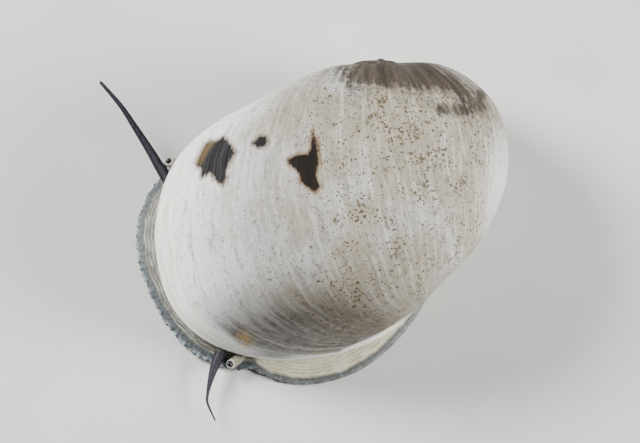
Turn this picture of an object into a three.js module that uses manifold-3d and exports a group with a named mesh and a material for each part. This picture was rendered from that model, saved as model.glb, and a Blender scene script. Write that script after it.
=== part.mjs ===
// A life-size polished nerite snail, crawling on a flat floor. Millimetres, +Z up.
// The snail heads along -Y, its left side is +X, and the flat sole of its foot lies on z = 0.
// The shell coils about an axis that points to the snail's right; its lip stays level above the foot.
import * as THREE from "three";
import { mergeVertices } from "three/addons/utils/BufferGeometryUtils.js";
import { ConvexGeometry } from "three/addons/geometries/ConvexGeometry.js";
import Module from "manifold-3d";

const wasm = await Module();
wasm.setup();

const TURN = 2 * Math.PI;
const GAP = 0.3; // clearance between neighbouring pieces
const SMALL_GAP = 0.2; // clearance between the lengths of a feeler
const EYE_GAP = 0.12; // clearance round an eye in its cup
const SLIVER = 0.004; // edges shorter than this are merged away

// Shell: a whorl that widens round a coiling axis, from the apex to the lip.
const POLE = new THREE.Vector3(-9.5, 6.9, 5.6); // the apex end of the coiling axis
const AXIS_UP = THREE.MathUtils.degToRad(10.2); // rise of the axis towards the apex
const AXIS_BACK = THREE.MathUtils.degToRad(10.3); // lean of the axis towards the tail
const LIP_RADIUS = 18.35; // from the axis to the front of the lip
const WHORL_WIDTH = 20.35; // of the last whorl, along the axis
const APEX_RISE = 1.57; // of the apex above the shoulder of the last whorl
const PERIPHERY = 0.45; // where a section is widest, as a share of its radius
const BASE_FULLNESS = 2.68; // exponent of the section's curve on the base side
const REAR_TAPER = 0.1; // how much more pointed the section is at the rear of the whorl
const TAPER_GROWS = [0.2, 0.5]; // turns before the lip between which that taper comes
const TAPER_FADES = [0.65, 0.9]; // and between which it goes
const LEAN = 0.054; // how far the periphery leans towards the base
const RADIAL_GROWTH = { late: 1.83, early: 1.35, settle: 0.78 };
const AXIAL_GROWTH = { late: 0.0, early: 2.5, settle: 0.55 };
// Swellings, seen from above: where the shell departs from a regular spiral.
const SWELL_CENTRE = { x: 0.5, y: -1.0 };
const SWELL_REACH = 12; // distance from that centre at which they have their full size
const SWELL_STEP = 10; // degrees from one bearing to the next
const SWELLS = [
  [50, -0.2],
  [60, -0.43],
  [70, -0.42],
  [80, -0.1],
  [90, 0.16],
  [100, 0.25],
  [120, -0.47],
  [130, -0.21],
  [150, 0.84],
  [160, 1.45],
  [170, 0.77],
  [180, 0.26],
  [210, 0.26],
  [220, 0.4],
  [230, 0.31],
]; // bearing in degrees, and how far the surface stands out there
const SPIRE_REACH = 2.0; // how far a section would pass the axis on the apex side
const BASE_REACH = 1.3; // how far it would pass the axis on the base side
const AXIS_BORE = 0.12; // the sections stop this far from the axis
const AXIS_CORE = 0.35; // radius of the core that fills that bore
const CORE_LENGTH = 0.84 * WHORL_WIDTH;
const APEX_RADIUS = 0.5; // of the first, ball-shaped part of the shell
const APEX_SINK = 0.8 * APEX_RADIUS; // of that ball's centre below the end of the axis
const OLDEST = 1.8; // turns before the lip at which the whorl leaves that ball
const WHORL_STEPS = 48; // sections in a turn
const SECTION_STEPS = 44; // points round a section
const HALF_TURN = 0.5; // the whorl is made in pieces of this many turns
const COARSE_FROM = 1; // pieces older than this many turns have half the steps
const CALLUS_TURNS = [-0.06, 0.78]; // turns before the lip that the base callus spans
const CALLUS_STEP = 0.04; // turns between the points it is drawn over
const BASE_ANGLE = -140; // degrees round the section where the base side ends
const LIP_LEVEL = 2.2; // height of the lip and of the deck behind the mouth of the shell
const LIP_SEARCH = [-0.2, 0.3]; // turns between which the lip meets that level
const LIP_SPAN = 250.8; // degrees of the section along the lip, from the base end
const LIP_POINTS = 76;
const LIP_REAR = 12; // how far back the lip's outline is carried on, straight
const OPEN_REACH = 40; // distance to the lip where none is met
const WALL = 1.1; // thickness of the lip
const MOUTH_CENTRE = { x: -0.4, y: -5.5 };
const MOUTH_DEPTH = 3.6; // of the hollow that holds the body
const MOUTH_DOME = [[0.25, 0.1], [0.6, 0.9], [0.9, 2.6], [1, 5]]; // share of depth, drawn in by
const MOUTH_ROUNDING = 0.8; // where the lip's side runs into the deck's edge
const DECK_EDGE = 1.2; // how far back the straight edge of the deck lies
const DECK_TEETH = [-2.4, 0, 2.3]; // where small teeth stand on that edge
const TOOTH_SIZE = 0.45; // how far a tooth reaches out, and half its width

// Foot: a broad flat oval, blunt in front and drawn out behind.
const FOOT = { x: -0.2, y: -3.5, left: 12.1, right: 10.6, front: 9.0, rear: 12.3 };
const FOOT_FULLNESS = { front: 2.4, rear: 1.7 }; // exponents of its outline's curve
const FOOT_RIM = 0.5; // thickness of its margin
const FOOT_TOP = 1.6; // height of its middle
const FOOT_FRONT_TOP = 0.6; // height under the head
const FOOT_RISE = [-3, 2]; // from where to where it rises to its middle's height
const FOOT_SLOPE = [[0.93, 0.15], [0.82, 0.5], [0.68, 0.85], [0.5, 1], [0.3, 1], [0.1, 1]];

// Head: a broad snout pad that reaches past the foot, with the mouth beneath its front.
const HEAD = { x: -0.45, y: -9.0, left: 9.5, right: 8.3, front: 6.7, rear: 6.6 };
const HEAD_FULLNESS = { front: 2.1, rear: 2.0 };
const HEAD_RIM = 0.55;
const HEAD_TOP = 1.6;
const HEAD_UNDER = [[0.9, 0.32], [0.975, 0.2], [1, 0.36], [0.985, 0.51]]; // share, height
const HEAD_SLOPE = [[0.93, 0.12], [0.84, 0.3], [0.72, 0.62], [0.6, 0.92], [0.45, 1], [0.2, 1]];
const MOUTH = { y: -13.6, length: 1.8, width: 0.35, depth: 0.5 };
const LIPS = { half: 1.35, reach: 0.95, rise: 0.45, z: 0.5 };

// Operculum: a thin door, straight in front, carried on the back of the foot.
const OPERCULUM = { x: -0.3, y: 0.6, half: 6.6, front: 0.9, rear: 5.6, bottom: 1.4, top: 1.9 };

// Feelers: the line each follows, its widths along that line, and where it is parted in three.
const TENTACLES = {
  left: {
    line: [
      [6.2, -11.1, 1.4],
      [7.1, -12.1, 1.4],
      [8.0, -12.95, 1.35],
      [8.9, -13.6, 1.3],
      [9.8, -14.15, 1.2],
      [10.5, -14.4, 1.15],
      [12.0, -14.3, 1.0],
    ],
    widths: [1.0, 1.0, 0.78, 0.6, 0.5, 0.45, 0.3],
    cuts: [3.2, 5.6],
  },
  right: {
    line: [
      [-6.2, -10.9, 1.4],
      [-8.1, -11.4, 1.55],
      [-10.0, -11.8, 2.0],
      [-12.0, -12.3, 2.6],
      [-13.8, -12.8, 3.2],
      [-16.0, -13.7, 3.8],
    ],
    widths: [0.95, 0.82, 0.7, 0.56, 0.5, 0.42],
    cuts: [4.0, 7.8],
  },
};

// Eyes: each sits on the upper side of a short stalk, near its end, and looks up and out.
const EYES = {
  left: {
    line: [
      [7.0, -9.7, 1.3],
      [7.9, -10.8, 1.4],
      [8.38, -12.05, 1.5],
    ],
    look: [0.1, -0.35, 0.93],
  },
  right: {
    line: [
      [-7.2, -9.2, 1.3],
      [-8.1, -10.0, 1.4],
      [-8.95, -10.85, 1.5],
    ],
    look: [-0.3, -0.35, 0.89],
  },
};
const STALK_WIDTHS = [1.0, 0.76, 0.8];
const EYE_RADIUS = 0.22;
const EYE_INSET = 0.36; // of the eye's centre from the end of the stalk
const EYE_LIFT = 0.24; // of the eye's centre above the stalk's own line
const FEELER_SIDES = 14;
const FEELER_STEP = 0.55; // between the rings of a feeler

const axis = new THREE.Vector3(
  -Math.cos(AXIS_UP) * Math.cos(AXIS_BACK),
  Math.cos(AXIS_UP) * Math.sin(AXIS_BACK),
  Math.sin(AXIS_UP),
);
const forward = new THREE.Vector3(0, -1, 0).projectOnPlane(axis).normalize();
const upward = new THREE.Vector3().crossVectors(axis, forward);

const smooth = (value, low, high) => THREE.MathUtils.smoothstep(value, low, high);
const mix = (a, b, t) => a + (b - a) * t;

// A closed solid for joining and cutting, from any closed geometry.
function solidOf(geometry) {
  const bare = geometry.clone();
  bare.deleteAttribute("normal");
  bare.deleteAttribute("uv");
  const merged = mergeVertices(bare, 1e-5);
  return new wasm.Manifold(
    new wasm.Mesh({
      numProp: 3,
      vertProperties: merged.attributes.position.array,
      triVerts: new Uint32Array(merged.index.array),
    }),
  );
}

// The geometry of a solid's largest closed surface.
function geometryOf(solid) {
  const clean = solid.simplify(SLIVER);
  const largest = clean.decompose().sort((a, b) => b.volume() - a.volume())[0];
  const mesh = largest.getMesh();
  return new THREE.BufferGeometry()
    .setAttribute("position", new THREE.BufferAttribute(mesh.vertProperties, 3))
    .setIndex(new THREE.BufferAttribute(mesh.triVerts, 1));
}

// A closed skin over rings of points that follow one another, with a fan over each end ring.
function loft(rings) {
  const count = rings[0].length;
  const points = rings.flat();
  const faces = [];
  for (let r = 0; r + 1 < rings.length; r++) {
    for (let i = 0; i < count; i++) {
      const a = r * count + i;
      const b = r * count + ((i + 1) % count);
      faces.push(a, b, a + count, b, b + count, a + count);
    }
  }
  const centreOf = (ring) =>
    ring.reduce((sum, p) => sum.add(p), new THREE.Vector3()).divideScalar(count);
  const last = (rings.length - 1) * count;
  points.push(centreOf(rings[0]), centreOf(rings.at(-1)));
  for (let i = 0; i < count; i++) {
    const next = (i + 1) % count;
    faces.push(points.length - 2, next, i);
    faces.push(points.length - 1, last + i, last + next);
  }
  return new THREE.BufferGeometry().setFromPoints(points).setIndex(faces);
}

// How large the whorl was, this many turns before the lip, against its size at the lip.
function growth(turns, { late, early, settle }) {
  const recent = (late - early) * settle * (1 - Math.exp(-turns / settle));
  return Math.exp(-(early * turns + recent));
}

// A place on the regular spiral, seen from above, moved out or in by the swellings round it.
function swollen(x, y) {
  const dx = x - SWELL_CENTRE.x;
  const dy = y - SWELL_CENTRE.y;
  const bearing = THREE.MathUtils.radToDeg(Math.atan2(dy, dx));
  let height = 0;
  for (const [at, size] of SWELLS) {
    const away = Math.abs(THREE.MathUtils.euclideanModulo(bearing - at + 180, 360) - 180);
    if (away < 2 * SWELL_STEP) {
      height += (size / 4) * (1 + Math.cos((Math.PI * away) / (2 * SWELL_STEP)));
    }
  }
  const stretch = 1 + (height * Math.hypot(dx, dy)) / SWELL_REACH ** 2;
  return [SWELL_CENTRE.x + dx * stretch, SWELL_CENTRE.y + dy * stretch];
}

// One point of the whorl's section: angle 0 is the periphery, and a quarter turn on is the shoulder.
function whorlPoint(turns, angle) {
  const size = growth(turns, RADIAL_GROWTH);
  const radius = LIP_RADIUS * size;
  const halfWidth = (WHORL_WIDTH / 2) * growth(turns, AXIAL_GROWTH);
  const shoulder = -APEX_RISE * size;
  const across = Math.cos(angle);
  const along = Math.sin(angle);
  const taper = REAR_TAPER * smooth(turns, ...TAPER_GROWS) * (1 - smooth(turns, ...TAPER_FADES));
  const fullness = taper + (along > 0 ? 1 : 2 / BASE_FULLNESS);
  const height = shoulder - halfWidth + halfWidth * Math.sign(along) * Math.abs(along) ** fullness;
  const middle = PERIPHERY * radius;
  const inner = middle * (along > 0 ? SPIRE_REACH : BASE_REACH);
  const lean = LEAN * (shoulder - height) * Math.max(across, 0) * size;
  const reach = middle + (across > 0 ? radius - middle : inner) * across + lean;
  const turned = turns * TURN;
  const outward = forward
    .clone()
    .multiplyScalar(Math.cos(turned))
    .addScaledVector(upward, Math.sin(turned));
  return POLE.clone()
    .addScaledVector(outward, Math.max(reach, AXIS_BORE))
    .addScaledVector(axis, height);
}

// The whorl between two ages, in turns before the lip, as one closed solid.
function whorlSolid(oldest, newest, steps, around) {
  const rings = [];
  for (let i = 0; i <= steps; i++) {
    const turns = oldest + ((newest - oldest) * i) / steps;
    const ring = [];
    for (let j = 0; j < around; j++) ring.push(whorlPoint(turns, (j / around) * TURN));
    rings.push(ring);
  }
  return solidOf(loft(rings));
}

// The callus that closes the base of the shell, between the last whorl and the deck.
// It is drawn in a little towards the middle of the shell, so that it stays beneath the whorl.
function baseSolid() {
  const middle = new THREE.Vector3(0, 1, 4);
  const [first, last] = CALLUS_TURNS;
  const sections = Math.round((last - first) / CALLUS_STEP);
  const points = [];
  for (let k = 0; k <= sections; k++) {
    for (let i = 0; i <= 18; i++) {
      const angle = THREE.MathUtils.degToRad(BASE_ANGLE + 8 * i);
      points.push(whorlPoint(first + k * CALLUS_STEP, angle).lerp(middle, 0.004));
    }
  }
  return solidOf(new ConvexGeometry(points));
}

// Where the lip stands at its level, from the base end round the front to the shoulder.
const lipOutline = [];
for (let i = 0; i <= LIP_POINTS; i++) {
  const angle = THREE.MathUtils.degToRad(BASE_ANGLE + (LIP_SPAN * i) / LIP_POINTS);
  let [low, high] = LIP_SEARCH;
  for (let k = 0; k < 30; k++) {
    const middle = (low + high) / 2;
    if (whorlPoint(middle, angle).z < LIP_LEVEL) low = middle;
    else high = middle;
  }
  const p = whorlPoint(high, angle);
  [p.x, p.y] = swollen(p.x, p.y);
  if (Math.abs(p.z - LIP_LEVEL) < 0.01) lipOutline.push(p);
}
lipOutline.unshift(lipOutline[0].clone().setY(LIP_REAR));
lipOutline.push(lipOutline.at(-1).clone().setY(LIP_REAR));

// The distance from the centre of the shell's mouth to the lip, in one direction.
function lipReach(angle) {
  const dx = Math.cos(angle);
  const dy = Math.sin(angle);
  let reach = 0;
  for (let i = 0; i + 1 < lipOutline.length; i++) {
    const ax = lipOutline[i].x - MOUTH_CENTRE.x;
    const ay = lipOutline[i].y - MOUTH_CENTRE.y;
    const ex = lipOutline[i + 1].x - lipOutline[i].x;
    const ey = lipOutline[i + 1].y - lipOutline[i].y;
    const cross = dx * ey - dy * ex;
    const t = (ax * ey - ay * ex) / cross;
    const s = (ax * dy - ay * dx) / cross;
    if (t > 0 && s >= 0 && s <= 1) reach = Math.max(reach, t);
  }
  return reach || OPEN_REACH;
}

// The hollow of the shell: D-shaped, straight along the toothed edge of the deck, domed above.
function mouthSolid(bottom, inset) {
  const around = 64;
  const dome = MOUTH_DOME.map(([share, taper]) => [LIP_LEVEL + share * MOUTH_DEPTH, taper]);
  const rings = [[bottom, 0], ...dome].map(([z, taper], level) => {
    const ring = [];
    for (let i = 0; i < around; i++) {
      const angle = (i / around) * TURN;
      const behind = (DECK_EDGE - MOUTH_CENTRE.y) / Math.max(Math.sin(angle), 1e-3);
      const toLip = (lipReach(angle) - WALL - inset - taper) / MOUTH_ROUNDING;
      const toDeck = (behind - inset - 0.5 * taper) / MOUTH_ROUNDING;
      const reach = -MOUTH_ROUNDING * Math.log(Math.exp(-toLip) + Math.exp(-toDeck));
      const x = MOUTH_CENTRE.x + reach * Math.cos(angle);
      let y = MOUTH_CENTRE.y + reach * Math.sin(angle);
      if (level < 2 && Math.sin(angle) > 0.5) {
        for (const tooth of DECK_TEETH) {
          y -= TOOTH_SIZE * Math.exp(-(((x - tooth) / TOOTH_SIZE) ** 2));
        }
      }
      ring.push(new THREE.Vector3(x, y, z - (level > 1 ? inset : 0)));
    }
    return ring;
  });
  return solidOf(loft(rings));
}

// The core along the coiling axis, with the ball of the apex at its end.
function coreSolid() {
  const core = new THREE.CylinderGeometry(AXIS_CORE, AXIS_CORE, CORE_LENGTH, 12);
  const ball = new THREE.SphereGeometry(APEX_RADIUS, 14, 10).translate(0, CORE_LENGTH / 2, 0);
  const turn = new THREE.Quaternion().setFromUnitVectors(new THREE.Vector3(0, 1, 0), axis);
  const middle = POLE.clone().addScaledVector(axis, -APEX_SINK - CORE_LENGTH / 2);
  for (const piece of [core, ball]) {
    piece.applyQuaternion(turn);
    piece.translate(middle.x, middle.y, middle.z);
  }
  return solidOf(core).add(solidOf(ball));
}

// The whole shell, from half turns of the whorl; the older ones are small and need fewer faces.
function shellSolid() {
  let whole = baseSolid().add(coreSolid());
  for (let oldest = OLDEST; oldest > 0; oldest -= HALF_TURN) {
    const detail = oldest < COARSE_FROM ? 1 : 0.5;
    const steps = Math.round(WHORL_STEPS * HALF_TURN * detail);
    const around = Math.round(SECTION_STEPS * detail);
    whole = whole.add(whorlSolid(oldest, oldest - HALF_TURN, steps, around));
  }
  whole = whole.warp((place) => {
    [place[0], place[1]] = swollen(place[0], place[1]);
  });
  const room = 60;
  const below = new THREE.BoxGeometry(room, room, room).translate(0, 0, LIP_LEVEL - room / 2);
  return whole.subtract(solidOf(below)).subtract(mouthSolid(LIP_LEVEL - 1, 0));
}

// A low closed cushion: rings of one outline, each drawn in to a share of it and set at a height.
function cushion(around, outline, levels) {
  const rings = levels.map(([share, heightAt]) => {
    const ring = [];
    for (let i = 0; i < around; i++) {
      const p = outline((i / around) * TURN, share);
      ring.push(new THREE.Vector3(p.x, p.y, heightAt(p.x, p.y)));
    }
    return ring;
  });
  return solidOf(loft(rings));
}

// A point of an oval with its own half-lengths on each side and its own fullness front and rear.
function oval(angle, share, { x, y, left, right, front, rear }, fullness, grow) {
  const c = Math.cos(angle);
  const s = Math.sin(angle);
  const power = s < 0 ? fullness.front : fullness.rear;
  const cx = Math.sign(c) * Math.abs(c) ** (2 / power);
  const sy = Math.sign(s) * Math.abs(s) ** (2 / power);
  return {
    x: x + share * cx * ((c < 0 ? right : left) + grow),
    y: y + share * sy * ((s < 0 ? front : rear) + grow),
  };
}

// The foot; grown, it is a cutter for what lies on it, and reaches down through the floor.
function footSolid(grow) {
  const outline = (angle, share) => oval(angle, share, FOOT, FOOT_FULLNESS, grow);
  const top = (full) => (x, y) => {
    const limit = mix(FOOT_FRONT_TOP, FOOT_TOP, smooth(y, ...FOOT_RISE));
    return Math.min(mix(FOOT_RIM, limit, full), limit) + grow;
  };
  return cushion(56, outline, [
    [0.99, () => (grow > 0 ? -1 : 0)],
    [1, () => 0.5 * FOOT_RIM],
    [0.985, () => 0.85 * FOOT_RIM + grow],
    ...FOOT_SLOPE.map(([share, full]) => [share, top(full)]),
  ]);
}

// The operculum: half an oval with a gently curved front edge.
function operculumSolid(grow) {
  const { x, y, half, front, rear, bottom, top } = OPERCULUM;
  const around = 40;
  const rings = [bottom - grow, top + grow].map((z) => {
    const ring = [];
    for (let i = 0; i < around; i++) {
      const angle = (i / around) * TURN;
      const s = Math.sin(angle);
      const reach = (s > 0 ? rear : front) + grow;
      ring.push(new THREE.Vector3(x + (half + grow) * Math.cos(angle), y + s * reach, z));
    }
    return ring;
  });
  return solidOf(loft(rings));
}

// A feeler or stalk: a round taper along a bent line, with blunt ends, between two distances along it.
function feelerSolid(line, widths, from, to, grow) {
  const curve = new THREE.CatmullRomCurve3(line.map((p) => new THREE.Vector3(...p)));
  const length = curve.getLength();
  const end = Math.min(to, length);
  const steps = Math.max(4, Math.round((end - from) / FEELER_STEP));
  const radiusAt = (t) => {
    const k = t * (widths.length - 1);
    const i = Math.min(Math.floor(k), widths.length - 2);
    return mix(widths[i], widths[i + 1], k - i) / 2 + grow;
  };
  const stops = [];
  for (let i = 0; i <= steps; i++) stops.push([mix(from, end, i / steps), 1]);
  const lead = 0.3 * radiusAt(from / length);
  const tail = 0.45 * radiusAt(end / length);
  stops[0] = [from, 0.75];
  stops.splice(1, 0, [from + lead, 1]);
  stops[stops.length - 1] = [end - tail, 1];
  stops.push([end - 0.3 * tail, 0.8], [end, 0.45]);
  const side = new THREE.Vector3(0, 0, 1);
  const rings = stops.map(([distance, share]) => {
    const t = THREE.MathUtils.clamp(distance / length, 0, 1);
    const centre = curve.getPointAt(t);
    const tangent = curve.getTangentAt(t);
    const u = new THREE.Vector3().crossVectors(side, tangent).normalize();
    const v = new THREE.Vector3().crossVectors(tangent, u);
    const ring = [];
    for (let i = 0; i < FEELER_SIDES; i++) {
      const angle = (i / FEELER_SIDES) * TURN;
      const r = radiusAt(t) * share;
      ring.push(
        centre
          .clone()
          .addScaledVector(u, r * Math.cos(angle))
          .addScaledVector(v, r * Math.sin(angle)),
      );
    }
    return ring;
  });
  if (grow > 0) {
    const overshoot = curve.getTangentAt(from / length).multiplyScalar(-grow);
    for (const p of rings[0]) p.add(overshoot);
  }
  return solidOf(loft(rings));
}

// An eye; grown, it is the cutter of the cup that it sits in.
function eyeSolid(side, grow) {
  const { line, look } = EYES[side];
  const [before, end] = line.slice(-2).map((p) => new THREE.Vector3(...p));
  const back = before.sub(end).normalize().multiplyScalar(EYE_INSET);
  const lift = new THREE.Vector3(...look).normalize().multiplyScalar(EYE_LIFT);
  const { x, y, z } = end.add(back).add(lift);
  return solidOf(new THREE.SphereGeometry(EYE_RADIUS + grow, 16, 10).translate(x, y, z));
}

// The head, with lips round the slit of the mouth beneath it, cut clear of all that it meets.
function headSolid() {
  const outline = (angle, share) => oval(angle, share, HEAD, HEAD_FULLNESS, 0);
  let head = cushion(56, outline, [
    ...HEAD_UNDER.map(([share, height]) => [share, () => height]),
    ...HEAD_SLOPE.map(([share, full]) => [share, () => mix(HEAD_RIM, HEAD_TOP, full)]),
  ]);
  const lips = new THREE.SphereGeometry(1, 20, 12)
    .scale(LIPS.half, LIPS.reach, LIPS.rise)
    .translate(HEAD.x, MOUTH.y, LIPS.z);
  const slit = new THREE.BoxGeometry(MOUTH.length, MOUTH.width, 2 * MOUTH.depth);
  slit.translate(HEAD.x, MOUTH.y, 0);
  head = head.add(solidOf(lips)).subtract(solidOf(slit)).subtract(footSolid(GAP));
  for (const side of ["left", "right"]) {
    const { line, widths } = TENTACLES[side];
    head = head.subtract(feelerSolid(line, widths, 0, Infinity, GAP));
    head = head.subtract(feelerSolid(EYES[side].line, STALK_WIDTHS, 0, Infinity, GAP));
  }
  return head;
}

const snail = new THREE.Group();
const material = (color, roughness) =>
  new THREE.MeshStandardMaterial({ color, roughness, metalness: 0 });
const porcelain = material(0xe9e6df, 0.35);
const flesh = material(0xb9b3a4, 0.5);
const feeler = material(0x3d3a48, 0.5);
const eyeBlack = material(0x0a0a0c, 0.15);
const horn = material(0x6d6152, 0.4);

// Adds one closed solid to the model under its name.
function add(name, solid, look) {
  const mesh = new THREE.Mesh(geometryOf(solid), look);
  mesh.name = name;
  snail.add(mesh);
}

add("shell", shellSolid(), porcelain);
add("mantle", mouthSolid(LIP_LEVEL - GAP, GAP), flesh);
add("foot", footSolid(0).subtract(operculumSolid(GAP)), flesh);
add("operculum", operculumSolid(0), horn);
add("head", headSolid(), flesh);
for (const side of ["left", "right"]) {
  const { line, widths, cuts } = TENTACLES[side];
  const [first, second] = cuts;
  add(`tentacle_${side}_base`, feelerSolid(line, widths, 0, first, 0), feeler);
  add(`tentacle_${side}_middle`, feelerSolid(line, widths, first + SMALL_GAP, second, 0), feeler);
  add(`tentacle_${side}_tip`, feelerSolid(line, widths, second + SMALL_GAP, Infinity, 0), feeler);
  const stalk = feelerSolid(EYES[side].line, STALK_WIDTHS, 0, Infinity, 0);
  add(`eye_stalk_${side}`, stalk.subtract(eyeSolid(side, EYE_GAP)), flesh);
  add(`eye_${side}`, eyeSolid(side, 0), eyeBlack);
}

export default snail;
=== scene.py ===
# A life-size polished nerite snail, crawling on a pale floor under soft studio light.
# Shapes are worked out in millimetres and turned to metres as each piece is finished.
import math

import bmesh
import bpy
import numpy as np
from mathutils import Matrix, Vector, noise


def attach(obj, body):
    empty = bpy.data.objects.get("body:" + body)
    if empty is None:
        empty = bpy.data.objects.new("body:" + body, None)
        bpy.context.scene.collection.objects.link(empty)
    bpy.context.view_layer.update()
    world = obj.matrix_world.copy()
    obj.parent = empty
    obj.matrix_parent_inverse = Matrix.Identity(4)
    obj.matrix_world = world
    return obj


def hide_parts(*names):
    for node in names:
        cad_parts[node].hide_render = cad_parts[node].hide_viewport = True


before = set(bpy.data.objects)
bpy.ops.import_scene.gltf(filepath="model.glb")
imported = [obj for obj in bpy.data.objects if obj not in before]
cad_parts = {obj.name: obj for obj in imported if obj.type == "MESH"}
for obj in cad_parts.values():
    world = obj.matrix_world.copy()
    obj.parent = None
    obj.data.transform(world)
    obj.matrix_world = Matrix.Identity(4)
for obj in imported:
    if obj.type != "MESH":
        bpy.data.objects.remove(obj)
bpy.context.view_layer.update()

MM = 0.001
SIDES = ("left", "right")
TURN = 2 * math.pi
SQUARE = [(-1, -1), (1, -1), (1, 1), (-1, 1)]

# Shell: the same whorl as the solid's, from its coiling axis to its lip.
POLE = np.array([-9.5, 6.9, 5.6])
AXIS_UP = math.radians(10.2)
AXIS_BACK = math.radians(10.3)
LIP_RADIUS = 18.35
WHORL_WIDTH = 20.35
APEX_RISE = 1.57
PERIPHERY = 0.45
BASE_FULLNESS = 2.68
REAR_TAPER = 0.1
LEAN = 0.054
RADIAL_GROWTH = (1.83, 1.35, 0.78)
AXIAL_GROWTH = (0.0, 2.5, 0.55)
SWELL_CENTRE = np.array([0.5, -1.0])
SWELL_REACH = 12.0
SWELL_STEP = 10.0
SWELLS = {
    50: -0.2, 60: -0.43, 70: -0.42, 80: -0.1, 90: 0.16, 100: 0.25, 120: -0.47, 130: -0.21,
    150: 0.84, 160: 1.45, 170: 0.77, 180: 0.26, 210: 0.26, 220: 0.4, 230: 0.31,
}
TAPER_GROWS = (0.2, 0.5)
TAPER_FADES = (0.65, 0.9)
SPIRE_REACH = 2.0
BASE_REACH = 1.3
AXIS_BORE = 0.12
AXIS_CORE = 0.35
CORE_LENGTH = 0.84 * WHORL_WIDTH
APEX_RADIUS = 0.5
APEX_SINK = 0.8 * APEX_RADIUS
OLDEST = 1.8
HALF_TURN = 0.5
FINE_STEPS = 150
COARSE_STEPS = 60
COARSE_FROM = 0.6
BASE_ANGLE = -140
BASE_OLDEST = 0.8
BASE_PAST_LIP = -0.06
BASE_MIDDLE = np.array([0, 1, 4])
BASE_SHRINK = 0.004
LIP_LEVEL = 2.2
LIP_SEARCH = (-0.2, 0.3)
LIP_STEP = 3.3
LIP_STEPS = 77
LIP_REAR = 12
LIP_BAND = 0.022
WALL = 1.1
MOUTH_CENTRE = np.array([-0.4, -5.5])
MOUTH_DEPTH = 3.6
MOUTH_DOME = ((0.25, 0.1), (0.6, 0.9), (0.9, 2.6), (1.0, 5.0))
MOUTH_ROUNDING = 0.8
DECK_EDGE = 1.2
DECK_TEETH = (-2.4, 0.0, 2.3)
TOOTH_SIZE = 0.45
SHELL_VOXEL = 0.14
CLEAR = 40.0

# Body: the same foot, head, feelers and eyes as the solids'.
FOOT = dict(x=-0.2, y=-3.5, left=12.1, right=10.6, front=9.0, rear=12.3)
FOOT_POWERS = (2.4, 1.7)
FOOT_RIM = 0.5
FOOT_TOP = 1.6
FOOT_FRONT_TOP = 0.6
HEAD = dict(x=-0.45, y=-9.0, left=9.5, right=8.3, front=6.7, rear=6.6)
HEAD_POWERS = (2.1, 2.0)
HEAD_MEAN = 8.2
SCALLOP = 0.95
HEAD_RIM = 0.55
HEAD_TOP = 1.6
MOUTH_Y = -13.6
TENTACLE_LINES = {
    "left": [
        (6.2, -11.1, 1.4),
        (7.1, -12.1, 1.4),
        (8.0, -12.95, 1.35),
        (8.9, -13.6, 1.3),
        (9.8, -14.15, 1.2),
        (10.5, -14.4, 1.15),
        (12.0, -14.3, 1.0),
    ],
    "right": [
        (-6.2, -10.9, 1.4),
        (-8.1, -11.4, 1.55),
        (-10.0, -11.8, 2.0),
        (-12.0, -12.3, 2.6),
        (-13.8, -12.8, 3.2),
        (-16.0, -13.7, 3.8),
    ],
}
TENTACLE_WIDTHS = {
    "left": [1.0, 0.98, 0.74, 0.48, 0.24, 0.17, 0.11],
    "right": [0.95, 0.82, 0.64, 0.48, 0.36, 0.24],
}
STALK_LINES = {
    "left": [(7.0, -9.7, 1.3), (7.9, -10.8, 1.4), (8.38, -12.05, 1.5)],
    "right": [(-7.2, -9.2, 1.3), (-8.1, -10.0, 1.4), (-8.95, -10.85, 1.5)],
}
STALK_WIDTHS = [1.0, 0.76, 0.8]
TENTACLE_STEPS = 120
STALK_STEPS = 40
EYE_LOOKS = {"left": (0.1, -0.35, 0.93), "right": (-0.3, -0.35, 0.89)}
EYE_RADIUS = 0.22
EYE_INSET = 0.36
EYE_LIFT = 0.24
CUP_RADIUS = 0.29
CUP_LIFT = 0.11
MOUTH_LENGTH = 1.8
MOUTH_WIDTH = 0.35
MOUTH_TOP = 0.5
LIPS = (0.75 * MOUTH_LENGTH, 0.95, 0.45)
MANTLE_BOTTOM = LIP_LEVEL - 0.9
MANTLE_INSET = 0.15
FRILL = 0.16
TUFT = 0.13
OPERCULUM = dict(x=-0.3, y=0.6, half=6.6, front=0.9, rear=5.6)
OPERCULUM_MIDDLE = 1.4
OPERCULUM_NUCLEUS = (-4.2, 0.9)
OPERCULUM_BOTTOM = 1.4
OPERCULUM_TOP = 1.9
SKIN_VOXEL = 0.1

# Camera: the photograph's view, through a long lens.
VIEW_AZIMUTH = math.radians(70)
VIEW_ELEVATION = math.radians(72)
FIELD_WIDTH = 48.9
FIELD_OFFSET = (-1.351, 0.198)
FOCUS_DEPTH = 6.0
LENS = 400.0
SENSOR = 36.0

# Floor and lights, in metres and watts.
FLOOR_HALF = 2.0
KEY_LIGHT = ("key", (-0.157, -0.157, 0.186), 0.14, 2.25, (1, 0.995, 0.98))
SIDE_LIGHT = ("side", (0.12, 0.21, 0.135), 0.12, 1.9, (1, 0.99, 0.96))
WORLD_STRENGTH = 0.10

# The photograph's right and up, and the way back to its camera.
sight_right = np.array([math.cos(VIEW_AZIMUTH), math.sin(VIEW_AZIMUTH), 0])
sight_back = np.array(
    [
        math.sin(VIEW_AZIMUTH) * math.cos(VIEW_ELEVATION),
        -math.cos(VIEW_AZIMUTH) * math.cos(VIEW_ELEVATION),
        math.sin(VIEW_ELEVATION),
    ]
)
sight_up = np.cross(sight_back, sight_right)

axis = np.array(
    [
        -math.cos(AXIS_UP) * math.cos(AXIS_BACK),
        math.cos(AXIS_UP) * math.sin(AXIS_BACK),
        math.sin(AXIS_UP),
    ]
)
forward = np.array([0.0, -1.0, 0.0])
forward -= axis * forward.dot(axis)
forward /= np.linalg.norm(forward)
upward = np.cross(axis, forward)


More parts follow.
